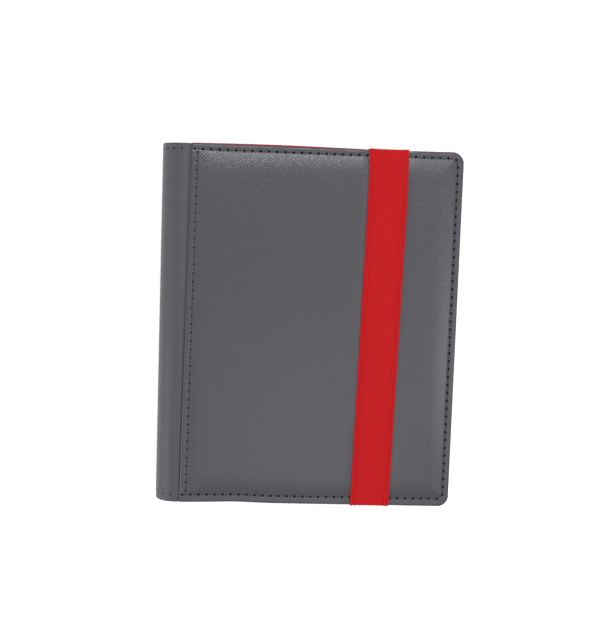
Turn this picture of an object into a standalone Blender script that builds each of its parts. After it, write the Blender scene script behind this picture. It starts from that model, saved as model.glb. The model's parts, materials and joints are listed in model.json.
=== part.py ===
"""Trading card binder with a padded cover, a rounded spine, an elastic closure band and
twenty side-loading pocket leaves.

The binder lies closed on its back cover: the spine is at -X, the fore-edge at +X, the top
edge at +Y and the front cover faces +Z. Units are metres. The origin is the middle of the
binder's footprint, on the surface it lies on.
"""

import math

import bmesh
import bpy
from mathutils import Matrix, Vector

# Driving dimensions
WIDTH = 0.170               # spine face to fore-edge
HEIGHT = 0.204              # top edge to bottom edge
CORNER = 0.006              # corner radius at the fore-edge
GAP = 0.0002                # between layers that are glued or sewn together

SKIN = 0.0007               # synthetic leather
FOAM = 0.0009
BOARD = 0.0014
LINING = 0.0006
COVER = SKIN + FOAM + BOARD + LINING + 3 * GAP

LEAVES = 20
LEAF_THICK = 0.0006
LEAF_PITCH = 0.00095
LEAF_ROOT = 0.010           # distance of a leaf's bound edge from the spine face
LEAF_EDGE = 0.165           # distance of its free edge from the spine face
LEAF_HALF = 0.097
LEAF_CORNER = 0.0025
SHEET = 0.0003              # a leaf's centre sheet
POCKET_WIDE = 0.0685        # for cards 63 mm by 88 mm, loaded from the side
POCKET_HIGH = 0.093
WELD = 0.002                # the welded line beside each pocket
BLOCK = (LEAVES - 1) * LEAF_PITCH + LEAF_THICK
BLOCK_CLEAR = 0.001         # between the leaf block and each lining
THICK = 2 * COVER + 2 * BLOCK_CLEAR + BLOCK
MIDDLE = THICK / 2

SPINE_R = 0.012             # outer radius where the spine rolls into each cover
SPINE_SKIN = 0.0009
STIFFENER = 0.0012
FOLD = math.radians(45)     # the fold line's place on that radius
FOLD_GAP = math.radians(3)  # half the gap left at the fold line
INNER_SPAN = math.radians(25)
PIVOT = SPINE_R * (1 - math.cos(FOLD))
SEAM = 0.0154               # the cover panel's sewn edge, from the spine face
TAB_END = 0.0215            # the hinge strip's tab under the panel ends here
STEP_START = 0.0016         # the strip steps down under the panel over this distance
STEP_END = 0.0007           # and this distance before the seam

BIND_X = 0.008              # the leaves turn about this line
STRIP_X = 0.0091            # the binding strips stand here
STRIP = 0.0006
STRIP_FOOT = 0.024

RIM = 0.0008                # the skin's turned-down edge
RIM_CLEAR = 0.0003
STITCH_INSET = 0.003
STITCH_START = 0.002        # the edge stitches start this far from the seam
FOAM_START = 0.0005         # the foam starts this far from the hinge strip's tab
BOARD_START = 0.0006        # and the board this far from the seam
LINING_START = 0.0005       # the cover's lining starts this far from the spine's roll
THREAD_R = 0.00018
THREAD_Z = 0.00022
GROOVE_R = 0.00038
GROOVE_Z = 0.00015

BAND_X = 0.1263             # middle of the elastic band, from the spine face
BAND_LEAN = 0.002           # the band's top end lies this far to the right, its bottom end to the left
BAND_WIDE = 0.0227
BAND_THICK = 0.0008
BAND_CLEAR = 0.0003
ANCHOR_THICK = 0.0008
ANCHOR_IN = 0.012           # length of the band's tail under the lining
CUT_SPARE = 0.001           # how far a cutter runs on past what it cuts

ARC_STEPS = 7
CORNER_STEPS = 6

GREY = (0.105, 0.105, 0.12)
DARK = (0.03, 0.03, 0.035)
RED = (0.56, 0.012, 0.02)
LINING_RED = (0.42, 0.02, 0.035)
CARD = (0.45, 0.36, 0.25)
WHITE = (0.75, 0.75, 0.75)
BLACK = (0.012, 0.012, 0.014)


def clear_scene():
    for obj in list(bpy.data.objects):
        bpy.data.objects.remove(obj, do_unlink=True)


def make_collection(name):
    group = bpy.data.collections.new(name)
    bpy.context.scene.collection.children.link(group)
    return group


clear_scene()
PARTS = make_collection("trading_card_binder")
CUTTERS = make_collection("cutters")


def across(distance):
    """X of a place that is this far from the spine face."""
    return distance - WIDTH / 2


def material(name, color, roughness, metallic=0.0):
    mat = bpy.data.materials.new(name)
    mat.use_nodes = True
    shader = mat.node_tree.nodes["Principled BSDF"]
    shader.inputs["Base Color"].default_value = (*color, 1.0)
    shader.inputs["Roughness"].default_value = roughness
    shader.inputs["Metallic"].default_value = metallic
    return mat


def add_part(name, mesh, mat):
    obj = bpy.data.objects.new(name, mesh)
    obj.data.materials.clear()
    obj.data.materials.append(mat)
    PARTS.objects.link(obj)
    return obj


def as_cutter(obj):
    obj.hide_render = True
    obj.display_type = "WIRE"
    return obj


def curve_mesh(curve, name):
    """Turns a curve into a mesh with welded caps."""
    holder = bpy.data.objects.new(name + "_curve", curve)
    bpy.context.scene.collection.objects.link(holder)
    bpy.context.view_layer.update()
    graph = bpy.context.evaluated_depsgraph_get()
    mesh = bpy.data.meshes.new_from_object(holder.evaluated_get(graph))
    bpy.data.objects.remove(holder, do_unlink=True)
    welded = bmesh.new()
    welded.from_mesh(mesh)
    bmesh.ops.remove_doubles(welded, verts=welded.verts, dist=1e-6)
    bmesh.ops.recalc_face_normals(welded, faces=welded.faces)
    welded.to_mesh(mesh)
    welded.free()
    mesh.name = name
    return mesh


def arc(cx, cy, radius, start, end, steps):
    """Points of an arc, both ends included; angles in radians."""
    points = []
    for i in range(steps):
        angle = start + (end - start) * i / (steps - 1)
        points.append((cx + radius * math.cos(angle), cy + radius * math.sin(angle)))
    return points


def fore_edge_path(left, inset):
    """Open path along the bottom, round the two fore-edge corners and back along the top."""
    right = across(WIDTH) - inset
    half = HEIGHT / 2 - inset
    radius = CORNER - inset if inset < CORNER else CORNER / 2
    path = [(left, -half)]
    path += arc(right - radius, -half + radius, radius, -math.pi / 2, 0, CORNER_STEPS)
    path += arc(right - radius, half - radius, radius, 0, math.pi / 2, CORNER_STEPS)
    path.append((left, half))
    return path


def slab_mesh(name, outline, low, high):
    """A flat outline, extruded from one height to another."""
    curve = bpy.data.curves.new(name, "CURVE")
    curve.dimensions = "2D"
    curve.fill_mode = "BOTH"
    curve.extrude = (high - low) / 2
    spline = curve.splines.new("POLY")
    spline.points.add(len(outline) - 1)
    for point, (x, y) in zip(spline.points, outline):
        point.co = (x, y, 0, 1)
    spline.use_cyclic_u = True
    mesh = curve_mesh(curve, name)
    for vertex in mesh.vertices:
        vertex.co.z += (low + high) / 2
    return mesh


def tube_mesh(name, points, radius):
    curve = bpy.data.curves.new(name, "CURVE")
    curve.dimensions = "3D"
    curve.bevel_depth = radius
    curve.bevel_resolution = 1
    curve.use_fill_caps = True
    spline = curve.splines.new("POLY")
    spline.points.add(len(points) - 1)
    for point, place in zip(spline.points, points):
        point.co = (*place, 1)
    return curve_mesh(curve, name)


def bent_sheet(name, path, sweep, thickness, mat):
    """A sheet bent along a path, swept by a vector; the path is its middle surface."""
    shape = bmesh.new()
    start = Vector(sweep) / -2
    verts = [shape.verts.new(Vector(point) + start) for point in path]
    edges = [shape.edges.new(pair) for pair in zip(verts, verts[1:])]
    swept = bmesh.ops.extrude_edge_only(shape, edges=edges)["geom"]
    moved = [item for item in swept if isinstance(item, bmesh.types.BMVert)]
    bmesh.ops.translate(shape, verts=moved, vec=Vector(sweep))
    bmesh.ops.recalc_face_normals(shape, faces=shape.faces)
    mesh = bpy.data.meshes.new(name)
    shape.to_mesh(mesh)
    shape.free()
    obj = add_part(name, mesh, mat)
    solid = obj.modifiers.new("thickness", "SOLIDIFY")
    solid.thickness = thickness
    solid.offset = 0
    solid.use_even_offset = True
    return obj


def box(name, low, high):
    bpy.ops.mesh.primitive_cube_add(size=1)
    obj = bpy.context.object
    obj.name = name
    corners = Vector(low), Vector(high)
    size = corners[1] - corners[0]
    centre = (corners[0] + corners[1]) / 2
    for vertex in obj.data.vertices:
        vertex.co = Vector(a * b for a, b in zip(vertex.co, size)) + centre
    for group in list(obj.users_collection):
        group.objects.unlink(obj)
    return obj


def box_cutter(name, low, high):
    obj = box(name, low, high)
    CUTTERS.objects.link(obj)
    return as_cutter(obj)


def combine(obj, other, operation):
    boolean = obj.modifiers.new(other.name, "BOOLEAN")
    boolean.operation = operation
    boolean.solver = "EXACT"
    boolean.object = other


def cut(obj, cutter):
    combine(obj, cutter, "DIFFERENCE")


def cutter_from_mesh(name, mesh):
    obj = bpy.data.objects.new(name, mesh)
    CUTTERS.objects.link(obj)
    return as_cutter(obj)


def flip(side, low, high):
    """Heights in a cover, counted from its outer face; the front cover is turned over."""
    if side == "back":
        return low, high
    return THICK - high, THICK - low


def cover_layer(side, layer, left, inset, low, high, mat):
    name = f"{side}_cover_{layer}"
    outline = fore_edge_path(across(left), inset)
    return add_part(name, slab_mesh(name, outline, *flip(side, low, high)), mat)


def thread_in_groove(name, skin, side, path, mat):
    """A sewing thread laid in a groove that is cut into the skin's outer face."""
    groove_z = flip(side, GROOVE_Z, GROOVE_Z)[0]
    thread_z = flip(side, THREAD_Z, THREAD_Z)[0]
    first = Vector((*path[0], groove_z))
    last = Vector((*path[-1], groove_z))
    groove = [Vector((x, y, groove_z)) for x, y in path]
    groove[0] = first + (first - groove[1]).normalized() * CUT_SPARE
    groove[-1] = last + (last - groove[-2]).normalized() * CUT_SPARE
    cutter = cutter_from_mesh(name + "_groove", tube_mesh(name + "_groove", groove, GROOVE_R))
    cut(skin, cutter)
    thread = [(x, y, thread_z) for x, y in path]
    return add_part(name, tube_mesh(name, thread, THREAD_R), mat)


def cover_skin(side, mat):
    """The panel's skin, with edges turned towards the lining on its three free sides."""
    depth = COVER - LINING - GAP
    skin = cover_layer(side, "skin", SEAM, 0.0, 0.0, depth, mat)
    outline = fore_edge_path(across(SEAM) - CUT_SPARE, RIM)
    low, high = flip(side, SKIN, depth + CUT_SPARE)
    name = f"{side}_skin_inside"
    cut(skin, cutter_from_mesh(name, slab_mesh(name, outline, low, high)))
    half = HEIGHT / 2 + CUT_SPARE
    corners = (across(SEAM) - CUT_SPARE, -half, low), (across(TAB_END) + GAP, half, high)
    cut(skin, box_cutter(f"{side}_tab_room", *corners))
    return skin


def stitch(side, skin, mat):
    inset = STITCH_INSET
    edge_path = fore_edge_path(across(SEAM + STITCH_START), inset)
    thread_in_groove(f"{side}_cover_thread", skin, side, edge_path, mat)
    half = HEIGHT / 2 - 1.5 * inset
    line = across(SEAM + inset)
    thread_in_groove(f"{side}_seam_thread", skin, side, [(line, -half), (line, half)], mat)


def cover(side, mats):
    skin = cover_skin(side, mats["skin"])
    stitch(side, skin, mats["thread"])
    inset = RIM + RIM_CLEAR
    foam_z = SKIN + GAP
    board_z = foam_z + FOAM + GAP
    lining_z = board_z + BOARD + GAP
    cover_layer(side, "foam", TAB_END + FOAM_START, inset, foam_z, foam_z + FOAM, mats["foam"])
    board = cover_layer(side, "board", SEAM + BOARD_START, inset, board_z, board_z + BOARD, mats["card"])
    lining_left = SPINE_R + LINING_START
    cover_layer(side, "lining", lining_left, 0.0, lining_z, lining_z + LINING, mats["lining"])
    hinge_strip(side, mats["skin"])
    return skin, board


def roll(radius, angle, upper):
    """A point of the spine's roll, as (x, z); angle 0 is the spine face, 90 degrees a cover."""
    x = across(SPINE_R - radius * math.cos(angle))
    z = SPINE_R - radius * math.sin(angle)
    return (x, THICK - z) if upper else (x, z)


def roll_arc(radius, start, end, upper):
    span = [start + (end - start) * i / (ARC_STEPS - 1) for i in range(ARC_STEPS)]
    return [roll(radius, angle, upper) for angle in span]


def upright(points):
    return [(x, 0.0, z) for x, z in points]


def hinge_strip(side, mat):
    """The smooth strip from the fold line to its tab under the cover panel."""
    upper = side == "front"
    middle = SPINE_SKIN / 2
    path = roll_arc(SPINE_R - middle, FOLD + FOLD_GAP, math.pi / 2, upper)
    step = SKIN + GAP
    tab = [
        (SEAM - STEP_START, middle),
        (SEAM - STEP_END, middle + step),
        (TAB_END, middle + step),
    ]
    path += [(across(x), flip(side, z, z)[0]) for x, z in tab]
    bent_sheet(f"{side}_hinge_strip", upright(path), (0, HEIGHT, 0), SPINE_SKIN, mat)


def spine_layer(name, outer, thickness, span, height, mat):
    radius = outer - thickness / 2
    path = roll_arc(radius, span, 0.0, False) + roll_arc(radius, 0.0, span, True)
    bent_sheet(name, upright(path), (0, height, 0), thickness, mat)
    return outer - thickness - GAP


def spine(mats):
    inner = HEIGHT - 2 * (RIM + RIM_CLEAR)
    left = spine_layer("spine_skin", SPINE_R, SPINE_SKIN, FOLD - FOLD_GAP, HEIGHT, mats["skin"])
    left = spine_layer("spine_stiffener", left, STIFFENER, INNER_SPAN, inner, mats["card"])
    spine_layer("spine_lining", left, LINING, INNER_SPAN, inner, mats["lining"])


def binding_strip(name, upper, mat):
    """Half of the binding: an upright strip behind the leaves' roots, with a flat foot."""
    foot_z = COVER + GAP + STRIP / 2
    path = [(STRIP_FOOT, foot_z), (STRIP_X, foot_z), (STRIP_X, MIDDLE - GAP / 2)]
    if upper:
        path = [(x, THICK - z) for x, z in path]
    points = [(across(x), z) for x, z in path]
    bent_sheet(name, upright(points), (0, 2 * LEAF_HALF, 0), STRIP, mat)


def pocket_leaf_mesh():
    """A centre sheet with a row of card pockets on both faces, standing out between the welds."""
    right = across(LEAF_EDGE)
    corner = LEAF_CORNER
    outline = [(across(LEAF_ROOT), -LEAF_HALF)]
    outline += arc(right - corner, -LEAF_HALF + corner, corner, -math.pi / 2, 0, 4)
    outline += arc(right - corner, LEAF_HALF - corner, corner, 0, math.pi / 2, 4)
    outline.append((across(LEAF_ROOT), LEAF_HALF))
    sheet = slab_mesh("leaf_sheet", outline, -SHEET / 2, SHEET / 2)
    blank = bpy.data.objects.new("leaf_blank", sheet)
    CUTTERS.objects.link(blank)
    as_cutter(blank)
    for column in range(2):
        for row in (-1, 0):
            left = right - WELD - (column + 1) * POCKET_WIDE - column * WELD
            low = row * (POCKET_HIGH + WELD) + WELD / 2
            pocket = box_cutter(
                f"pocket_{column + 1}_{row + 2}",
                (left, low, -LEAF_THICK / 2),
                (left + POCKET_WIDE, low + POCKET_HIGH, LEAF_THICK / 2),
            )
            combine(blank, pocket, "UNION")
    graph = bpy.context.evaluated_depsgraph_get()
    return bpy.data.meshes.new_from_object(blank.evaluated_get(graph))


def leaves(mat):
    """All leaves share one mesh and hang on an empty that lies on their turning line."""
    axis = bpy.data.objects.new("leaf_axis", None)
    axis.location = (across(BIND_X), 0.0, MIDDLE)
    PARTS.objects.link(axis)
    mesh = pocket_leaf_mesh()
    mesh.transform(Matrix.Translation((-across(BIND_X), 0.0, 0.0)))
    for index in range(LEAVES):
        leaf = add_part(f"leaf_{index + 1:02d}", mesh, mat)
        leaf.parent = axis
        leaf.location.z = (index - (LEAVES - 1) / 2) * LEAF_PITCH


def elastic_band(mat):
    """The closed band's visible loop, from one sewn end over the front to the other."""
    side = HEIGHT / 2 + 2 * GAP + BAND_THICK / 2
    top = THICK + BAND_CLEAR + BAND_THICK / 2
    end = COVER - LINING - GAP - ANCHOR_THICK
    path = [(-side, end), (-side, top), (side, top), (side, end)]
    points = [(across(BAND_X) + math.copysign(BAND_LEAN, y), y, z) for y, z in path]
    bent_sheet("elastic_band", points, (BAND_WIDE, 0, 0), BAND_THICK, mat)


def band_anchors(skin, board, mat):
    """The band's tails, sewn in between the back cover's board and its lining."""
    top = COVER - LINING - GAP
    low = top - ANCHOR_THICK
    edge = HEIGHT / 2
    for name, sign in (("top", 1), ("bottom", -1)):
        left = across(BAND_X) + sign * BAND_LEAN - BAND_WIDE / 2
        right = left + BAND_WIDE
        ends = sorted((sign * (edge + GAP), sign * (edge - ANCHOR_IN)))
        tail = box(f"band_anchor_{name}", (left, ends[0], low), (right, ends[1], top))
        tail.data.materials.append(mat)
        PARTS.objects.link(tail)
        reach = sorted((sign * (edge + CUT_SPARE), sign * (edge - ANCHOR_IN - RIM_CLEAR)))
        notch = box_cutter(
            f"band_notch_{name}",
            (left - RIM_CLEAR, reach[0], low - GAP),
            (right + RIM_CLEAR, reach[1], top + CUT_SPARE),
        )
        cut(skin, notch)
        cut(board, notch)


def build():
    mats = {
        "skin": material("grey_synthetic_leather", GREY, 0.55),
        "thread": material("dark_thread", DARK, 0.7),
        "foam": material("white_foam", WHITE, 0.9),
        "card": material("grey_board", CARD, 0.85),
        "lining": material("red_suede_lining", LINING_RED, 0.95),
        "leaf": material("black_pocket_leaf", BLACK, 0.35),
        "binding": material("black_binding_strip", BLACK, 0.5),
        "elastic": material("red_elastic", RED, 0.75),
    }
    skin, board = cover("back", mats)
    cover("front", mats)
    spine(mats)
    binding_strip("binding_strip_lower", False, mats["binding"])
    binding_strip("binding_strip_upper", True, mats["binding"])
    leaves(mats["leaf"])
    elastic_band(mats["elastic"])
    band_anchors(skin, board, mats["elastic"])


build()
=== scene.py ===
"""Looks of the trading card binder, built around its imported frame.

Lengths are metres, in the frame's own axes: the binder lies on its back cover, +Z comes out of
the front cover, +Y is its top edge and the spine is at -X.
"""

import json
import math

import bpy
import numpy as np
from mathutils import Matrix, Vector


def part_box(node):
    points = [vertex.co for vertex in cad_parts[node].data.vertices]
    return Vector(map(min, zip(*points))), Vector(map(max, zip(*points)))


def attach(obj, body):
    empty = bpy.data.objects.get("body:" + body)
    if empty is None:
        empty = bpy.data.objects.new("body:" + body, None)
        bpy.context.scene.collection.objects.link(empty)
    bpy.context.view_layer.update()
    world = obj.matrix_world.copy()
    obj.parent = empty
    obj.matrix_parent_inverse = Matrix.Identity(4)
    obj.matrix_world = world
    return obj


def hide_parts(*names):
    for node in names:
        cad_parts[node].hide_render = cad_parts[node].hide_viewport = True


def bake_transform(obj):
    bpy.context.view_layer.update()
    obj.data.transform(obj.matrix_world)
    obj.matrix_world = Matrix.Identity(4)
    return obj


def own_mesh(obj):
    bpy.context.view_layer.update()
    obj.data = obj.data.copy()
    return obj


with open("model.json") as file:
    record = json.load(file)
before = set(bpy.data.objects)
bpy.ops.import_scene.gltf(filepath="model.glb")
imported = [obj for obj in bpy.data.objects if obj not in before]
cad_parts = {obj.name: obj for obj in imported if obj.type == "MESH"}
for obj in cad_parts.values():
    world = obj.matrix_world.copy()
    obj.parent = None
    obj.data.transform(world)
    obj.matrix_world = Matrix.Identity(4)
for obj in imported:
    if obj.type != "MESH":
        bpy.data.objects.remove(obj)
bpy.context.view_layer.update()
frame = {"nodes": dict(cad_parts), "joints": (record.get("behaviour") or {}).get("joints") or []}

MM = 0.001
PI = math.pi


# ---------------------------------------------------------------- places read from the frame
def joint_place(name):
    found = [joint for joint in frame["joints"] if joint["name"] == name]
    return Vector(found[0]["pos_m"])


SKIN_LOW, SKIN_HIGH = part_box("front_cover_skin")
LINING_LOW, LINING_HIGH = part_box("front_cover_lining")
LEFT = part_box("spine_skin")[0][0]
RIGHT = SKIN_HIGH[0]
HALF = SKIN_HIGH[1]
TOP = SKIN_HIGH[2]
MIDDLE = TOP / 2
SEAM = SKIN_LOW[0]
SEAM_LEAN = 1.2 * MM            # the front seam leans right at its top end, left at its foot
CORNER = 6 * MM                 # radius of the covers' outer corners
LINING_OUT = TOP - LINING_HIGH[2]
LINING_IN = TOP - LINING_LOW[2]
SPINE_R = 12 * MM               # radius of the spine's roll
ROLL_START = LEFT + SPINE_R     # where the strip stops being flat
BAND_LOW, BAND_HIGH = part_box("elastic_band")
BAND_WIDE = 22.4 * MM
BAND_X = (BAND_LOW[0] + BAND_HIGH[0]) / 2 - 0.45 * MM
BAND_LEAN = (BAND_HIGH[0] - BAND_LOW[0]) / 2 - 11.35 * MM
BAND_END = joint_place("band_swing")

STITCH_PITCH = 4.6 * MM
SEAM_PITCH = 4.8 * MM
STITCH_HALF = HALF - 3.8 * MM   # half the height of the stitched outline
STITCH_RISE = 0.6 * MM          # how far above the cover's middle it is centred
STITCH_SIDE = 3.4 * MM          # its distance in from the fore-edge
STITCH_CORNER = 3.2 * MM        # and the radius of its corners
SEAM_STITCH = 3.3 * MM          # the seam row's distance from the seam
STRIP_RISE = 0.75 * MM          # the strip's depth below the cover's face
STRIP_DIP = 0.75 * MM           # and how much deeper it runs in the seam's groove
SKIN_THICK = 0.7 * MM
SUEDE_THICK = 0.6 * MM
HEM_THICK = 2.5 * MM            # the strip turned in on itself at its two ends
CROWN_FALL = 1.1                # mm that the padding falls from the middle to the stitches
CROWN_REACH = 12.5 * MM         # and how far in from them it has risen in full
BAND_RIBS = 15
BAND_BACK = 0.33 * MM           # from the band's middle line to its inner face
SHEET_HALF = 0.16 * MM          # half the thickness of a leaf's black sheet
LEAVES = 20
THREAD_SIZE = (2.9, 0.42, 0.3)  # mm, the grey thread between two stitches of the outline


# ---------------------------------------------------------------- mesh helpers
def smooth(value, low, high):
    """0 below low, 1 above high, and an even curve between them."""
    t = np.clip((value - low) / (high - low), 0, 1)
    return t * t * (3 - 2 * t)


def add_mesh(name, verts, faces, mat, sharp=50):
    mesh = bpy.data.meshes.new(name)
    mesh.from_pydata([tuple(v) for v in verts], [], faces)
    mesh.validate()
    mesh.shade_smooth()
    mesh.set_sharp_from_angle(angle=math.radians(sharp))
    mesh.materials.append(mat)
    obj = bpy.data.objects.new(name, mesh)
    bpy.context.scene.collection.objects.link(obj)
    return obj


def loft(rings, flip=False):
    """Verts and faces of closed rings joined one to the next, with end caps."""
    rings = np.asarray(rings)
    count, size = rings.shape[:2]
    index = np.arange(count * size).reshape(count, size)
    a, b = index[:-1], index[1:]
    quads = np.stack([a, np.roll(a, -1, 1), np.roll(b, -1, 1), b], -1).reshape(-1, 4)
    faces = [tuple(int(i) for i in quad) for quad in quads]
    faces.append(tuple(int(i) for i in index[0][::-1]))
    faces.append(tuple(int(i) for i in index[-1]))
    if flip:
        faces = [face[::-1] for face in faces]
    return rings.reshape(-1, 3), faces


def mirrored(rings):
    """The same rings for the back cover: turned over about the binder's middle plane."""
    rings = np.array(rings)
    rings[..., 2] = TOP - rings[..., 2]
    return rings


def join_shapes(shapes):
    """Several (verts, faces) as one."""
    verts, faces, start = [], [], 0
    for part_verts, part_faces in shapes:
        verts.extend(part_verts)
        faces.extend(tuple(i + start for i in face) for face in part_faces)
        start += len(part_verts)
    return verts, faces


# ---------------------------------------------------------------- materials
class Shader:
    """A Principled material whose nodes are added one at a time."""

    def __init__(self, name, color, rough, **sockets):
        self.mat = bpy.data.materials.new(name)
        self.mat.use_nodes = True
        self.tree = self.mat.node_tree
        self.main = self.tree.nodes["Principled BSDF"]
        self.main.inputs["Base Color"].default_value = (*color, 1)
        self.main.inputs["Roughness"].default_value = rough
        for socket, value in sockets.items():
            self.main.inputs[socket.replace("_", " ")].default_value = value
        self.place = self.add("ShaderNodeTexCoord").outputs["Object"]

    def add(self, kind, **settings):
        node = self.tree.nodes.new(kind)
        for key, value in settings.items():
            setattr(node, key, value)
        return node

    def link(self, source, target):
        self.tree.links.new(source, target)

    def turned(self, angles, stretch=(1, 1, 1)):
        node = self.add("ShaderNodeMapping")
        node.inputs["Rotation"].default_value = [math.radians(a) for a in angles]
        node.inputs["Scale"].default_value = stretch
        self.link(self.place, node.inputs["Vector"])
        return node.outputs["Vector"]

    def noise(self, size, detail=3, vector=None):
        node = self.add("ShaderNodeTexNoise")
        node.inputs["Scale"].default_value = 1 / size
        node.inputs["Detail"].default_value = detail
        self.link(vector or self.place, node.inputs["Vector"])
        return node.outputs["Fac"]

    def lines(self, pitch, vector, axis="X", distortion=0.0):
        node = self.add("ShaderNodeTexWave", wave_type="BANDS", bands_direction=axis)
        node.inputs["Scale"].default_value = 2 * PI / 20 / pitch
        node.inputs["Distortion"].default_value = distortion
        node.inputs["Detail"].default_value = 1
        node.inputs["Detail Scale"].default_value = 1.5
        self.link(vector, node.inputs["Vector"])
        return node.outputs["Fac"]

    def cells(self, size):
        node = self.add("ShaderNodeTexVoronoi")
        node.inputs["Scale"].default_value = 1 / size
        self.link(self.place, node.inputs["Vector"])
        return node.outputs["Distance"]

    def math(self, operation, first, second):
        node = self.add("ShaderNodeMath", operation=operation)
        for slot, value in zip(node.inputs, (first, second)):
            if isinstance(value, (int, float)):
                slot.default_value = value
            else:
                self.link(value, slot)
        return node.outputs[0]

    def spread(self, value, low, high, start=0.0, end=1.0):
        node = self.add("ShaderNodeMapRange")
        self.link(value, node.inputs["Value"])
        ends = {"From Min": start, "From Max": end, "To Min": low, "To Max": high}
        for socket, number in ends.items():
            node.inputs[socket].default_value = number
        return node.outputs["Result"]

    def tint(self, value, dark, light):
        """Base colour between two colours, as value goes from 0 to 1."""
        node = self.add("ShaderNodeValToRGB")
        node.color_ramp.elements[0].color = (*dark, 1)
        node.color_ramp.elements[1].color = (*light, 1)
        self.link(value, node.inputs["Fac"])
        self.link(node.outputs["Color"], self.main.inputs["Base Color"])

    def relief(self, value, depth):
        """Fine bumps this deep, on top of any that were added before."""
        node = self.add("ShaderNodeBump")
        node.inputs["Distance"].default_value = depth
        self.link(value, node.inputs["Height"])
        previous = self.main.inputs["Normal"]
        if previous.is_linked:
            self.link(previous.links[0].from_socket, node.inputs["Normal"])
        self.link(node.outputs["Normal"], previous)

    def rough(self, value, low, high):
        self.link(self.spread(value, low, high), self.main.inputs["Roughness"])


def scaled(color, factor):
    return tuple(channel * factor for channel in color)


GREY = (0.058, 0.057, 0.067)
RED = (0.485, 0.0062, 0.0095)
SUEDE = (0.46, 0.020, 0.040)


def saffiano():
    """Cross-grained print: two sets of fine slanting lines, pressed flatter towards the foot, with
    painted highlight near the top.
    """
    s = Shader("saffiano_grey", GREY, 0.45, Specular_IOR_Level=0.4)
    one = s.math("POWER", s.lines(1.3 * MM, s.turned((0, 0, 43)), distortion=3.5), 1.8)
    two = s.math("POWER", s.lines(1.3 * MM, s.turned((0, 0, -47)), distortion=3.5), 1.8)
    axes = s.add("ShaderNodeSeparateXYZ")
    s.link(s.place, axes.inputs["Vector"])
    # grows towards the top: flatter relief at the foot, and through the tint a painted highlight on
    # the grain near the top
    relief_and_highlight_up = s.spread(axes.outputs["Y"], 0.35, 1.1, -HALF / 2, HALF)
    cross = s.math("MULTIPLY", s.math("MAXIMUM", one, two), relief_and_highlight_up)
    patch = s.noise(9 * MM, 2)
    height = s.math("ADD", cross, s.math("MULTIPLY", s.noise(0.5 * MM, 2), 0.12))
    s.relief(height, 0.042 * MM)
    # lighter where the grain lines are strong, so near the top this is painted highlight
    tone = s.math("ADD", s.math("MULTIPLY", cross, 0.6), s.math("MULTIPLY", patch, 0.4))
    s.tint(tone, scaled(GREY, 0.95), scaled(GREY, 1.05))
    s.rough(s.noise(1.4 * MM, 2), 0.25, 0.32)
    return s.mat


def smooth_leather():
    s = Shader("smooth_grey", scaled(GREY, 1.05), 0.5, Specular_IOR_Level=0.4)
    grain = s.cells(0.7 * MM)
    s.relief(s.math("ADD", grain, s.noise(0.35 * MM, 2)), 0.015 * MM)
    s.tint(s.noise(7 * MM, 4), scaled(GREY, 0.98), scaled(GREY, 1.14))
    s.rough(s.noise(1.1 * MM, 2), 0.42, 0.55)
    return s.mat


def suede():
    s = Shader("red_suede", SUEDE, 0.95, Sheen_Weight=0.6, Sheen_Roughness=0.45)
    s.main.inputs["Sheen Tint"].default_value = (1.0, 0.45, 0.5, 1)
    nap = s.math("ADD", s.noise(0.45 * MM, 3), s.noise(6 * MM, 3))
    s.tint(s.math("MULTIPLY", nap, 0.5), scaled(SUEDE, 0.7), scaled(SUEDE, 1.25))
    s.relief(s.noise(0.3 * MM, 3), 0.05 * MM)
    return s.mat


def elastic():
    """Ribbed webbing: the ribs are in the mesh, the crossing yarns are here."""
    s = Shader("red_elastic", RED, 0.8, Specular_IOR_Level=0.2)
    picks = s.lines(1.1 * MM, s.turned((45, 0, 0)), axis="Y", distortion=0.6)
    yarn = s.noise(0.4 * MM, 2, s.turned((0, 0, 0), (4, 1, 4)))
    s.tint(s.math("ADD", s.math("MULTIPLY", picks, 0.22), s.math("MULTIPLY", yarn, 0.68)),
           scaled(RED, 0.76), scaled(RED, 1.2))
    s.relief(picks, 0.03 * MM)
    s.relief(yarn, 0.05 * MM)
    return s.mat


def thread(name, color):
    s = Shader(name, color, 0.8, Specular_IOR_Level=0.15)
    twist = s.lines(0.3 * MM, s.turned((0, 0, 35)), distortion=0.5)
    s.tint(twist, scaled(color, 0.6), scaled(color, 1.3))
    s.relief(twist, 0.04 * MM)
    return s.mat


def leaf_sheet():
    s = Shader("black_sheet", (0.012, 0.012, 0.013), 0.45)
    s.relief(s.noise(0.25 * MM, 2), 0.02 * MM)
    s.tint(s.noise(12 * MM, 3), (0.010, 0.010, 0.011), (0.018, 0.018, 0.020))
    s.rough(s.noise(3 * MM, 2), 0.35, 0.55)
    return s.mat


def pocket_film():
    s = Shader("clear_film", (0.95, 0.96, 0.98), 0.12, Transmission_Weight=1.0, IOR=1.45)
    s.relief(s.noise(14 * MM, 2), 0.25 * MM)
    s.tint(s.noise(30 * MM, 2), (0.92, 0.93, 0.95), (0.98, 0.98, 0.99))
    s.rough(s.noise(8 * MM, 2), 0.07, 0.2)
    return s.mat


def tape():
    s = Shader("black_tape", (0.014, 0.014, 0.016), 0.85, Sheen_Weight=0.15)
    over = s.lines(0.6 * MM, s.place, axis="X")
    under = s.lines(0.6 * MM, s.place, axis="Y")
    s.tint(s.math("MULTIPLY", over, under), (0.008, 0.008, 0.009), (0.03, 0.03, 0.033))
    s.relief(s.math("ADD", over, under), 0.05 * MM)
    return s.mat


def grey_board():
    s = Shader("grey_board", (0.36, 0.32, 0.26), 0.9)
    fibre = s.noise(1.2 * MM, 4, s.turned((0, 0, 20), (1, 5, 1)))
    s.tint(fibre, (0.26, 0.23, 0.19), (0.46, 0.41, 0.34))
    s.relief(fibre, 0.04 * MM)
    return s.mat


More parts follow.
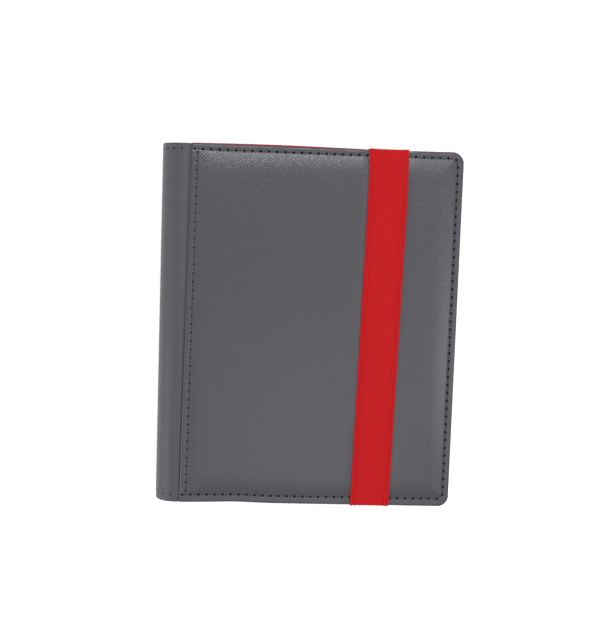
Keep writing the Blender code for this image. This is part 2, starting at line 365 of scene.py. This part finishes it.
def foam():
    s = Shader("white_foam", (0.75, 0.75, 0.73), 0.95)
    pore = s.cells(0.6 * MM)
    s.tint(pore, (0.55, 0.55, 0.53), (0.85, 0.85, 0.83))
    s.relief(pore, 0.1 * MM)
    return s.mat


MATS = {
    "saffiano": saffiano(),
    "smooth": smooth_leather(),
    "suede": suede(),
    "elastic": elastic(),
    # near-black beads on the outline's needle holes: painted shade of the holes
    "dark_thread": thread("dark_thread", (0.003, 0.003, 0.0035)),
    "grey_thread": thread("grey_thread", scaled(GREY, 0.9)),
    # dark beads on the seam's needle holes: painted shade of the holes
    "seam_thread": thread("seam_thread", (0.014, 0.013, 0.013)),
    "sheet": leaf_sheet(),
    "film": pocket_film(),
    "tape": tape(),
    "board": grey_board(),
    "foam": foam(),
}


# ---------------------------------------------------------------- cover outline and surface
class Side:
    """What differs between the two covers."""

    def __init__(self, name, lean, wave, dent, uneven):
        self.name = name
        self.lean = lean
        self.wave = wave
        self.dent = dent
        self.uneven = uneven

    def body(self):
        return f"{self.name}_cover"

    def node(self, layer):
        return f"{self.name}_cover_{layer}"

    def place(self, rings):
        return np.asarray(rings) if self.name == "front" else mirrored(rings)

    def seam(self, y):
        return SEAM + self.lean * y / HALF

    def foot(self, x, y):
        """How far the wave in the bottom edge lifts a point of the cover."""
        wave = self.wave * np.exp(-(((x - LEFT - 46 * MM) / (13 * MM)) ** 2))
        return wave * smooth(-y, HALF * 0.5, HALF - 12 * MM)


FRONT = Side("front", SEAM_LEAN, 0.55 * MM, 0.16 * MM, 0.05 * MM)
BACK = Side("back", 0.0, 0.0, 0.0, 0.0)


def arc(cx, cy, radius, start, end, steps):
    angle = np.linspace(start, end, steps)
    return np.stack([cx + radius * np.cos(angle), cy + radius * np.sin(angle)], 1)


def straight(start, end, steps):
    """Points from start towards end, without the end."""
    t = np.arange(steps)[:, None] / steps
    return np.array(start) * (1 - t) + np.array(end) * t


def cover_outline(side, inset, along=210, down=270, turn=14, away=0.0):
    """One ring of a cover layer at this distance in from its edge, as (x, y) points.

    away is how much further the layer keeps from the seam.
    """
    top, foot = HALF - inset, -HALF + inset
    edge = RIGHT - inset
    radius = max(CORNER - inset, 0.4 * MM)
    left_top = (side.seam(top) + inset + away, top)
    left_foot = (side.seam(foot) + inset + away, foot)
    points = np.concatenate([
        straight(left_foot, (edge - radius, foot), along),
        arc(edge - radius, foot + radius, radius, -PI / 2, 0, turn),
        straight((edge, foot + radius), (edge, top - radius), down)[1:],
        arc(edge - radius, top - radius, radius, 0, PI / 2, turn),
        straight((edge - radius, top), left_top, along)[1:],
        straight(left_top, left_foot, down),
    ])
    points[:, 1] += side.foot(points[:, 0], points[:, 1])
    return points


def box_distance(x, y, right, half, radius):
    """Signed distance from the outline of a panel that is open to the left."""
    qx = x - (right - radius)
    qy = np.abs(y) - (half - radius)
    outside = np.hypot(np.maximum(qx, 0), np.maximum(qy, 0))
    return outside + np.minimum(np.maximum(qx, qy), 0) - radius


def stitch_route(side):
    """The perimeter stitches' route, from the seam along the top and back along the foot."""
    edge, half, radius = RIGHT - STITCH_SIDE, STITCH_HALF, STITCH_CORNER
    start = side.seam(HALF) + 1.6 * MM
    end = side.seam(-HALF) + 1.6 * MM
    route = np.concatenate([
        straight((start, half), (edge - radius, half), 300),
        arc(edge - radius, half - radius, radius, PI / 2, 0, 16),
        straight((edge, half - radius), (edge, radius - half), 300)[1:],
        arc(edge - radius, radius - half, radius, 0, -PI / 2, 16),
        straight((edge - radius, -half), (end, -half), 300)[1:],
        [(end, -half)],
    ])
    route[:, 1] += STITCH_RISE
    route[:, 1] += side.foot(route[:, 0], route[:, 1])
    return route


def seam_route(side):
    heights = np.linspace(HALF - 5.2 * MM, 6.8 * MM - HALF, 80)
    return np.array([(side.seam(y) + SEAM_STITCH, y) for y in heights])


def evenly(route, pitch):
    """Places and directions spaced evenly along a route."""
    steps = np.linalg.norm(np.diff(route, axis=0), axis=1)
    length = np.concatenate([[0], np.cumsum(steps)])
    count = max(2, round(length[-1] / pitch) + 1)
    at = np.linspace(0, length[-1], count)

    def points(where):
        return np.stack([np.interp(where, length, column) for column in route.T], 1)

    tangent = points(at + 0.3 * MM) - points(at - 0.3 * MM)
    return points(at), tangent / np.linalg.norm(tangent, axis=1)[:, None]


def nearest(points, places):
    """Distance from each point to the nearest of some places."""
    best = np.full(len(points), 1.0)
    for place in places:
        best = np.minimum(best, np.hypot(points[:, 0] - place[0], points[:, 1] - place[1]))
    return best


def from_edge(side, points):
    """Distance in from the cover's edge, and y with the wave in the cover's foot taken out."""
    x, y = points[:, 0], points[:, 1]
    even = y - side.foot(x, y)
    return -box_distance(x, even, RIGHT, HALF, CORNER), even


def from_stitches(x, even):
    """Distance in from the stitched outline, less than zero outside it."""
    return -box_distance(x, even - STITCH_RISE, RIGHT - STITCH_SIDE, STITCH_HALF, STITCH_CORNER)


def crown(side, points):
    """The padding's fall towards the edges and the seam, below the cover's nominal face."""
    edge, even = from_edge(side, points)
    inside = from_stitches(points[:, 0], even)
    fold = points[:, 0] - side.seam(points[:, 1])
    drop = CROWN_FALL * (1 - np.clip(inside / CROWN_REACH, 0, 1)) ** 2
    drop *= 0.4 + 0.6 * smooth(fold, 2 * MM, 14 * MM)
    drop += 0.15 * (1 - smooth(fold, 3.3 * MM, 9 * MM)) * smooth(edge, 3 * MM, 9 * MM)
    return -drop * MM


def cover_height(side, points):
    """The panel's outer surface, as height above the cover's nominal face.

    The crown, then the rounded edge and the fold at the seam, the grooves that the stitches pull,
    the needle holes, the dent along the elastic band, and slow unevenness in the padding.
    """
    x, y = points[:, 0], points[:, 1]
    edge, even = from_edge(side, points)
    fold = x - side.seam(y)
    height = crown(side, points)
    height -= 0.55 * MM * np.clip(1 - edge / (1.1 * MM), 0, 1) ** 2
    height -= 0.34 * MM * np.clip(1 - fold / (0.8 * MM), 0, 1) ** 2
    line = np.abs(from_stitches(x, even))
    height -= 0.2 * MM * np.exp(-((line / (0.6 * MM)) ** 2)) * smooth(fold, 0, 1.5 * MM)
    seam_line = np.abs(fold - SEAM_STITCH)
    height -= 0.09 * MM * np.exp(-((seam_line / (0.45 * MM)) ** 2))
    holes = np.concatenate([
        evenly(stitch_route(side), STITCH_PITCH)[0],
        evenly(seam_route(side), SEAM_PITCH)[0],
    ])
    near = np.minimum(line, seam_line) < 2 * MM
    height[near] -= 0.2 * MM * np.exp(-((nearest(points[near], holes) / (0.6 * MM)) ** 2))
    across = x - BAND_X - BAND_LEAN * y / HALF
    band = np.abs(across) - BAND_WIDE / 2
    height -= side.dent * np.where(across < 0, 1.9, 1) * (1 - smooth(band, -0.5 * MM, 4 * MM))
    roll = np.sin(x / (19 * MM) + 0.7) * np.sin(y / (27 * MM) + 1.1)
    height += side.uneven * (roll - 1) * smooth(edge, 3 * MM, 16 * MM)
    return height


def panel(side):
    """The padded panel: synthetic leather turned round three edges and folded at the seam."""
    rings = []

    def outer_ring(inset):
        points = cover_outline(side, inset)
        rings.append(np.column_stack([points, TOP + cover_height(side, points)]))

    def inner_ring(inset):
        points = cover_outline(side, inset)
        rings.append(np.column_stack([points, TOP + crown(side, points) - 0.6 * MM]))

    def wall_ring(inset, depth, folded=1.0):
        """A ring down the turned edge, which is only a short fold along the seam."""
        points = cover_outline(side, inset)
        z = np.full(len(points), TOP - depth)
        seam = side.seam(points[:, 1])
        at_seam = points[:, 0] - seam < inset + 0.05 * MM
        lip = np.column_stack([seam[at_seam], points[at_seam, 1]])
        z[at_seam] = TOP + cover_height(side, lip) - 0.5 * MM * folded
        rings.append(np.column_stack([points, z]))

    for inset in (70, 45, 25, 15, 10, 7, 5, 3.5, 2.2, 1.3):
        inner_ring(inset * MM)
    wall_ring(SKIN_THICK + 0.3 * MM, 1.75 * MM)
    wall_ring(SKIN_THICK + 0.2 * MM, LINING_OUT - 0.15 * MM)
    wall_ring(SKIN_THICK, LINING_OUT - 0.02 * MM)
    wall_ring(0.15 * MM, LINING_OUT - 0.02 * MM)
    wall_ring(0.0, LINING_OUT - 0.2 * MM, 0.9)
    for depth, folded in ((2.8, 0.7), (2.3, 0.5), (1.8, 0.25)):
        wall_ring(0.0, depth * MM, folded)
    near_edge = [0.0, 0.12, 0.3, 0.55, 0.8, 1.1, 1.5, 1.8, 2.05, 2.3, 2.5, 2.7, 2.95, 3.2, 3.4]
    near_edge += [3.6, 3.9, 4.3, 4.8, 5.5, 6.5, 8, 10, 12.5, 15, 18]
    inner = list(np.arange(21, 76.1, 2.5 if side.dent else 11))
    for inset in near_edge + inner:
        outer_ring(inset * MM)
    verts, faces = loft(side.place(rings), flip=side.name == "back")
    obj = add_mesh(f"{side.name}_cover_panel", verts, faces, MATS["saffiano"])
    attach(obj, side.body())
    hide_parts(side.node("skin"))


def foam_pad(side):
    """The foam sheet in the panel, pressed thin towards its edges."""
    rings = []

    def ring(inset, depth=None):
        points = cover_outline(side, inset * MM, along=50, down=60, turn=6, away=6.4 * MM)
        if depth is None:
            z = TOP + crown(side, points) - 0.68 * MM
        else:
            z = np.full(len(points), TOP - depth * MM)
        rings.append(np.column_stack([points, z]))

    for inset in (68, 20, 1.4):
        ring(inset, 1.92)
    for inset in (1.3, 2.3, 3.5, 5, 7, 10, 13, 17, 30, 68):
        ring(inset)
    verts, faces = loft(side.place(rings), flip=side.name == "back")
    obj = add_mesh(f"{side.name}_foam_pad", verts, faces, MATS["foam"])
    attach(obj, side.body())
    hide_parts(side.node("foam"))


# ---------------------------------------------------------------- stitches
def bead(centre, along, up, size):
    """A small rounded stitch that dives into the skin at both ends.

    size is its length, width and height in mm.
    """
    length, width, height = (value * MM for value in size)
    across = np.cross(up, along)
    angle = np.arange(8) * 2 * PI / 8
    rings = []
    for t in np.linspace(-1, 1, 8):
        swell = math.sqrt(max(0.03, 1 - t * t))
        sink = -0.55 * height * t * t
        middle = centre + along * (t * length / 2) + up * sink
        rings.append(middle + swell * (np.outer(np.cos(angle), across) * width / 2
                                       + np.outer(np.sin(angle), up) * height / 2))
    return loft(rings)


def flat_stitches(side, name, route, size, mat, between=False, pitch=STITCH_PITCH):
    """Stitches along a route on the panel: dark beads of painted hole shade on the needle holes, or
    thread between them.
    """
    places, tangents = evenly(route, pitch)
    if between:
        places = (places[1:] + places[:-1]) / 2
        tangents = (tangents[1:] + tangents[:-1]) / 2
    heights = TOP + cover_height(side, places)
    shapes = []
    up = np.array((0, 0, 1.0))
    lift = 0.04 * MM if between else 0.14 * MM
    for (x, y), (tx, ty), z in zip(places, tangents, heights):
        along = np.array((tx, ty, 0)) / math.hypot(tx, ty)
        shapes.append(bead(np.array((x, y, z + lift)), along, up, size))
    verts, faces = join_shapes(shapes)
    verts = side.place(np.array(verts))
    if side.name == "back":
        faces = [face[::-1] for face in faces]
    obj = add_mesh(name, verts, faces, MATS[mat])
    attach(obj, side.body())
    return obj


def cover_stitches(side):
    edge, seam = stitch_route(side), seam_route(side)
    name = side.name
    # the dark beads on the needle holes are painted shade of the holes; grey thread runs between
    # them
    hole_shade_beads = flat_stitches(side, f"{name}_edge_hole_shade", edge, (2.5, 1.5, 0.8), "dark_thread")
    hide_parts(side.node("thread"))
    flat_stitches(side, f"{name}_edge_thread", edge, THREAD_SIZE, "grey_thread", between=True)
    # the seam's dark beads on its needle holes are painted shade of the holes; grey floats run
    # between
    holes = flat_stitches(side, f"{name}_seam_hole_shade", seam, (1.7, 1.1, 0.55), "seam_thread",
                          pitch=SEAM_PITCH)
    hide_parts(f"{name}_seam_thread")
    flat_stitches(side, f"{name}_seam_floats", seam, (3.2, 0.45, 0.34), "grey_thread",
                  between=True, pitch=SEAM_PITCH)


# ---------------------------------------------------------------- spine: skin, lining, stitches
def spine_route(outer, rise, tab, dip=0.0, square=2.0):
    """Half of the spine's section: from under the front panel, round the roll, to mid-spine.

    outer is the distance in from the spine face, rise the depth below the cover's face, tab the
    length that lies past the seam, and dip how much deeper the strip runs where it passes under
    the panel's folded edge. The roll is an ellipse where square is 2, and fuller than one above
    that.
    """
    cx, cz = ROLL_START, TOP - SPINE_R
    rx, rz = SPINE_R - outer, SPINE_R - rise
    flat = [(SEAM + tab, TOP - rise - dip)]
    groove = ((-1.5, 1.0), (0.0, 1.0), (0.35, 0.92), (0.8, 0.55), (1.3, 0.18), (1.9, 0.03))
    for before, part in groove:
        if tab > -before * MM:
            flat.append((SEAM - before * MM, TOP - rise - part * dip))
    angle = np.linspace(PI / 2, 0, 26)
    across, up = np.cos(angle).clip(0) ** (2 / square), np.sin(angle).clip(0) ** (2 / square)
    roll = np.stack([cx - rx * across, cz + rz * up], 1)
    face = [(cx - rx, cz - 1 * MM), (cx - rx, MIDDLE)]
    return np.concatenate([flat, roll, face])


def normals(route):
    """Unit normals that point out of the binder."""
    ahead = np.gradient(route, axis=0)
    out = np.stack([ahead[:, 1], -ahead[:, 0]], 1)
    return out / np.linalg.norm(out, axis=1)[:, None]


def seam_slide(x, upper):
    """How far along x the front seam's lean has moved the spine's top end at this x."""
    lean = SEAM_LEAN if upper else 0.0
    return lean * float(np.clip((x - ROLL_START) / (SEAM - ROLL_START), 0, 1))


def strip_section():
    """The spine strip's closed section, as (y, depth) pairs: turned in at both ends."""
    half, skin, hem = HALF, SKIN_THICK, HEM_THICK
    edge = [0.0, 0.08, 0.2, 0.4, 0.7, 1.1, 1.6, 2.0, 2.3, 2.5, 2.7, 3.0, 3.5, 4.5, 7.0, 12.0]
    outer = []
    for e in edge:
        depth = 0.5 * max(0, 1 - e / 0.9) ** 2 + 0.13 * math.exp(-(((e - 2.5) / 0.5) ** 2))
        outer.append((half - e * MM, depth * MM))
    middle = [(half - y * MM, 0.0) for y in np.linspace(22, 2 * half / MM - 22, 19)]
    outer = outer + middle + [(-y, d) for y, d in outer[::-1]]
    inner_end = half - 1.5 * MM
    inner = [(-half, hem - 0.3 * MM), (0.3 * MM - half, hem), (-inner_end, hem)]
    inner += [(-inner_end, skin), (inner_end, skin)]
    inner += [(inner_end, hem), (half - 0.3 * MM, hem), (half, hem - 0.3 * MM)]
    return outer + inner


def strip_rings(upper):
    """Rings of one cover's smooth strip with its half of the spine, in one bent piece."""
    route = spine_route(0.0, STRIP_RISE, 5 * MM, STRIP_DIP)
    section = strip_section()
    rings = []
    for (x, z), (nx, nz) in zip(route, normals(route)):
        under_panel = x > SEAM + 0.6 * MM
        half = HALF - (1.1 * MM if under_panel else 0.0)
        room = z - TOP + LINING_OUT if x > ROLL_START else 1.0
        limit = SKIN_THICK if under_panel else room
        slide = seam_slide(x, upper)
        ring = []
        for y, depth in section:
            depth = min(depth, limit)
            y = max(-half, min(half, y))
            ring.append((x + slide * y / HALF - nx * depth, y, z - nz * depth))
        rings.append(ring)
    return rings


def bend_piece(obj, upper):
    """Bakes the piece's placement into its mesh."""
    if upper:
        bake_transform(obj)
    else:
        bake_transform(obj)


def half_name(upper):
    return "front" if upper else "back"


def spine_half(upper):
    rings = np.array(strip_rings(upper))
    if not upper:
        rings = mirrored(rings)
    verts, faces = loft(rings, flip=upper)
    obj = add_mesh(f"{half_name(upper)}_spine_strip", verts, faces, MATS["smooth"], sharp=60)
    bend_piece(obj, upper)
    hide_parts(f"{half_name(upper)}_hinge_strip", "spine_skin")


def spine_stitches(upper):
    """The perimeter stitches go on across the strip and round the spine: painted hole shade on the
    holes, thread between.
    """
    route = spine_route(0.0, STRIP_RISE, 0.0, STRIP_DIP)[6:]
    out = normals(route)
    steps = np.linalg.norm(np.diff(route, axis=0), axis=1)
    length = np.concatenate([[0], np.cumsum(steps)])
    hole_shade_beads, threads = [], []
    for sign in (1, -1):
        lean = SEAM_LEAN * sign if upper else 0.0
        first = max(0.0, 1.1 * MM - lean)
        y = sign * STITCH_HALF + STITCH_RISE
        for start in np.arange(first, length[-1] - 0.6 * MM, STITCH_PITCH):
            for shift, store, size in ((0, hole_shade_beads, (1.9, 1.15, 0.65)), (0.5, threads, THREAD_SIZE)):
                where = start + shift * STITCH_PITCH
                if where > length[-1] - 1.5 * MM:
                    continue
                x, z = (np.interp(where, length, route[:, k]) for k in range(2))
                up_x, up_z = (np.interp(where, length, out[:, k]) for k in range(2))
                up = np.array([up_x, 0, up_z])
                up /= np.linalg.norm(up)
                along = np.cross(up, (0, 1.0, 0))
                centre = np.array((x, y, z)) - up * 0.14 * MM
                store.append(bead(centre, along, up, size))
    # the dark beads are painted shade of the needle holes; the grey ones are the thread
    for store, name, mat in ((hole_shade_beads, "stitches", "dark_thread"), (threads, "thread", "grey_thread")):
        verts, faces = join_shapes(store)
        verts = np.array(verts)
        if not upper:
            verts = mirrored(verts)
            faces = [face[::-1] for face in faces]
        obj = add_mesh(f"{half_name(upper)}_spine_{name}", verts, faces, MATS[mat])
        bend_piece(obj, upper)


def spine_lining(upper):
    """Suede inside the spine, from one cover's lining to mid-spine."""
    route = spine_route(2.5 * MM, LINING_OUT, 0.0, square=2.7)
    reach = HALF - 0.9 * MM
    section = [(y, 0.0) for y in np.linspace(reach, -reach, 21)]
    section += [(y, SUEDE_THICK) for y in np.linspace(-reach, reach, 21)]
    rings = []
    for (x, z), (nx, nz) in zip(route, normals(route)):
        slide = seam_slide(x, upper)
        rings.append([
            (x + slide * y / HALF - nx * depth, y, z - nz * depth) for y, depth in section
        ])
    rings = np.array(rings)
    if not upper:
        rings = mirrored(rings)
    verts, faces = loft(rings, flip=upper)
    obj = add_mesh(f"{half_name(upper)}_spine_lining", verts, faces, MATS["suede"])
    bend_piece(obj, upper)
    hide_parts("spine_lining")


def cover_lining(side):
    """Suede lining; its edge stands a little proud of the skin along the top."""
    proud = 0.85 * MM if side.name == "front" else 0.3 * MM
    rings = []

    def ring(inset, depth):
        points = cover_outline(side, inset)
        top = smooth(points[:, 1], HALF - 3 * MM, HALF - 1.0 * MM)
        beside = np.abs(points[:, 0] - BAND_X - BAND_LEAN) - BAND_WIDE / 2
        top *= smooth(beside, 0.2 * MM, 3 * MM)
        sway = 0.64 + 0.36 * np.cos((points[:, 0] - LEFT - 62 * MM) / (22 * MM))
        points[:, 1] += proud * top * sway
        rings.append(np.column_stack([points, np.full(len(points), TOP - depth)]))

    ring(60 * MM, LINING_OUT)
    ring(1.5 * MM, LINING_OUT)
    ring(0.1 * MM, LINING_OUT)
    ring(0.0, LINING_OUT + 0.12 * MM)
    ring(0.0, LINING_IN - 0.12 * MM)
    ring(0.1 * MM, LINING_IN)
    ring(1.5 * MM, LINING_IN)
    ring(60 * MM, LINING_IN)
    verts, faces = loft(side.place(rings), flip=side.name == "front")
    obj = add_mesh(f"{side.name}_lining", verts, faces, MATS["suede"])
    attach(obj, side.body())
    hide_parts(side.node("lining"))


# ---------------------------------------------------------------- elastic band
def band_ribs():
    """Across the band: (offset, height) of its ribbed outer face."""
    half = BAND_WIDE / 2
    rib = BAND_WIDE / BAND_RIBS
    points = []
    for u in np.linspace(-half, half, 271):
        inset = half - abs(u)
        tall = 0.20 + 0.22 * (1 - float(smooth(inset, rib, 4 * rib)))
        coarse = abs(math.sin(PI * inset / rib)) ** 0.7
        fine = abs(math.sin(2 * PI * inset / rib)) ** 0.8
        points.append((u, MM * (tall * coarse + 0.04 * fine)))
    return points


def band_route():
    """Middle line of the band as (y, z), from one sewn end over the front to the other."""
    side = HALF + 0.4 * MM
    top = TOP + 0.3 * MM
    low = BAND_END[2]
    bend = 1.3 * MM
    turn = arc(side - bend, top - bend, bend, 0, PI / 2, 9)
    half = [(HALF - 1.6 * MM, low), (HALF - 0.5 * MM, low), (side - 0.3 * MM, low + 0.3 * MM)]
    half += [(side, low + 1.1 * MM)]
    half += [(side, z) for z in np.linspace(low + 2 * MM, top - bend - 0.2 * MM, 12)]
    half += [tuple(p) for p in turn]
    half += [(y, top) for y in np.linspace(side - bend - 1 * MM, 0, 28)]
    other = [(-y, z) for y, z in half[-2::-1]]
    route = np.array(half + other)
    # it follows the padding's fall at both ends, and pulls in at the foot
    near_end = 1 - smooth(side - np.abs(route[:, 0]), 0, 15 * MM)
    route[:, 1] -= 0.45 * MM * near_end * smooth(route[:, 1], top - 8 * MM, top - 2 * MM)
    route[:, 0] += 0.4 * MM * smooth(-route[:, 0], side - 9 * MM, side - 1 * MM)
    return route


def elastic_band():
    route = band_route()
    ahead = np.gradient(route, axis=0)
    out = np.stack([-ahead[:, 1], ahead[:, 0]], 1)
    out /= -np.linalg.norm(out, axis=1)[:, None]
    section = [(u, 0.05 * MM + height) for u, height in band_ribs()]
    section += [(u, -BAND_BACK) for u in np.linspace(BAND_WIDE / 2, -BAND_WIDE / 2, 12)]
    rings = []
    for (y, z), (ny, nz) in zip(route, out):
        x = BAND_X + BAND_LEAN * np.clip(y / HALF, -1, 1)
        x -= 0.55 * MM * smooth(y, HALF - 24 * MM, HALF - 5 * MM)
        neck = 0.55 + 0.45 * smooth(z, BAND_END[2], BAND_END[2] + 2 * MM)
        rings.append([(x + u, y + ny * h * neck, z + nz * h * neck) for u, h in section])
    verts, faces = loft(np.array(rings), flip=True)
    obj = add_mesh("elastic_band_loop", verts, faces, MATS["elastic"], sharp=70)
    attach(obj, "band")
    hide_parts("elastic_band")
    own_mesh(obj)


# ---------------------------------------------------------------- leaves
def rounded_outline(low, high, radius, inset, steps):
    """A rounded rectangle, anticlockwise."""
    x0, y0, x1, y1 = low[0] + inset, low[1] + inset, high[0] - inset, high[1] - inset
    r = max(radius - inset, 0.2 * MM)
    return np.concatenate([
        arc(x1 - r, y0 + r, r, -PI / 2, 0, steps),
        arc(x1 - r, y1 - r, r, 0, PI / 2, steps),
        arc(x0 + r, y1 - r, r, PI / 2, PI, steps),
        arc(x0 + r, y0 + r, r, PI, 3 * PI / 2, steps),
    ])


def stack(profile, low, high, radius, steps=5):
    """A solid whose outline is a rounded rectangle, from (inset, z) pairs."""
    rings = []
    for inset, z in profile:
        points = rounded_outline(low, high, radius, inset, steps)
        rings.append(np.column_stack([points, np.full(len(points), z)]))
    return loft(rings)


def leaf_meshes():
    """The black sheet and the clear pockets of one leaf, about the leaf's own middle plane."""
    low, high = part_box("leaf_01")
    thick = high[2] - low[2]
    sheet, bevel = SHEET_HALF, 0.04 * MM
    body = stack([(30 * MM, -sheet), (1 * MM, -sheet), (bevel, -sheet), (0, bevel - sheet),
                  (0, sheet - bevel), (bevel, sheet), (1 * MM, sheet), (30 * MM, sheet)],
                 low, high, 2.5 * MM)
    weld, wide, tall = 2 * MM, 68.5 * MM, 93 * MM
    films = []
    for column in range(2):
        for row in (-1, 0):
            x0 = high[0] - weld - (column + 1) * wide - column * weld
            y0 = row * (tall + weld) + weld / 2
            corners = (x0, y0), (x0 + wide, y0 + tall)
            rise = thick / 2 - sheet
            profile = [(30, 0.01), (8, 0.01), (1.2, 0.01), (0.15, 0.01), (0.0, 0.04), (0.25, 0.3)]
            profile += [(0.7, 0.55), (1.6, 0.8), (3.5, 0.95), (8, 1.0), (30, 1.0)]
            for face in (1, -1):
                rings = [(inset * MM, face * (sheet + part * rise)) for inset, part in profile]
                verts, faces = stack(rings, *corners, 0.8 * MM, 3)
                films.append((verts, faces if face > 0 else [f[::-1] for f in faces]))
    return body, join_shapes(films)


def leaf_pieces():
    body, films = leaf_meshes()
    sheet = add_mesh("leaf_sheet_01", *body, MATS["sheet"], sharp=40)
    film = add_mesh("leaf_pockets_01", *films, MATS["film"], sharp=40)
    for number in range(1, LEAVES + 1):
        node = f"leaf_{number:02d}"
        low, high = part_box(node)
        for source, name in ((sheet, "leaf_sheet"), (film, "leaf_pockets")):
            piece = source
            if number > 1:
                piece = bpy.data.objects.new(f"{name}_{number:02d}", source.data)
                bpy.context.scene.collection.objects.link(piece)
            piece.location.z = (low[2] + high[2]) / 2
            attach(piece, node + "_body")
            if name == "leaf_sheet":
                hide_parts(node)


# ---------------------------------------------------------------- CAD nodes that stay
def dress_nodes():
    dresses = {
        "board": ["front_cover_board", "back_cover_board", "spine_stiffener"],
        "tape": ["binding_strip_lower", "binding_strip_upper"],
        "elastic": ["band_anchor_top", "band_anchor_bottom"],
    }
    for mat, names in dresses.items():
        for name in names:
            node = frame["nodes"][name]
            node.data.materials.clear()
            node.data.materials.append(MATS[mat])


# ---------------------------------------------------------------- floor, light and camera
def floor():
    bpy.ops.mesh.primitive_plane_add(size=4, location=(0, 0, -0.0006))
    obj = bpy.context.object
    obj.name = "floor"
    s = Shader("pale_floor", (0.92, 0.92, 0.92), 0.9)
    s.tint(s.noise(400 * MM, 2), (0.91, 0.91, 0.91), (0.93, 0.93, 0.93))
    s.main.inputs["Emission Color"].default_value = (1, 1, 1, 1)
    s.main.inputs["Emission Strength"].default_value = 0.4
    obj.data.materials.append(s.mat)


def area_light(name, place, size, power):
    """A round soft light that faces the binder's middle."""
    light = bpy.data.lights.new(name, "AREA")
    light.shape = "DISK"
    light.size = size
    light.energy = power
    obj = bpy.data.objects.new(name, light)
    obj.location = place
    facing = Vector((0, 0, 20 * MM)) - Vector(place)
    obj.rotation_euler = facing.to_track_quat("-Z", "Y").to_euler()
    bpy.context.scene.collection.objects.link(obj)


def lights():
    world = bpy.data.worlds.new("soft_room")
    bpy.context.scene.world = world
    world.use_nodes = True
    background = world.node_tree.nodes["Background"]
    background.inputs["Color"].default_value = (1, 1, 1, 1)
    background.inputs["Strength"].default_value = 0.60
    area_light("key_light", (0.05, 0.57, 1.03), 0.26, 5.2)
    area_light("foot_light", (0.08, -0.29, 1.11), 0.45, 0.9)
    area_light("right_light", (0.56, -0.12, 1.00), 0.30, 1.6)
    area_light("left_light", (-0.95, -0.42, 0.52), 0.60, 3.8)


def camera():
    data = bpy.data.cameras.new("camera")
    data.sensor_width = 36
    data.sensor_fit = "AUTO"
    data.lens = 61.05
    obj = bpy.data.objects.new("camera", data)
    obj.location = (-0.0420, 0.0646, 0.6407)
    obj.rotation_euler = tuple(math.radians(a) for a in (-5.68, -3.33, 1.94))
    bpy.context.scene.collection.objects.link(obj)
    bpy.context.scene.camera = obj
    bpy.context.scene.view_settings.view_transform = "Standard"


for cover_side in (FRONT, BACK):
    panel(cover_side)
    foam_pad(cover_side)
    cover_stitches(cover_side)
    cover_lining(cover_side)
for is_upper in (True, False):
    spine_half(is_upper)
    spine_stitches(is_upper)
    spine_lining(is_upper)
elastic_band()
leaf_pieces()
dress_nodes()
floor()
lights()
camera()
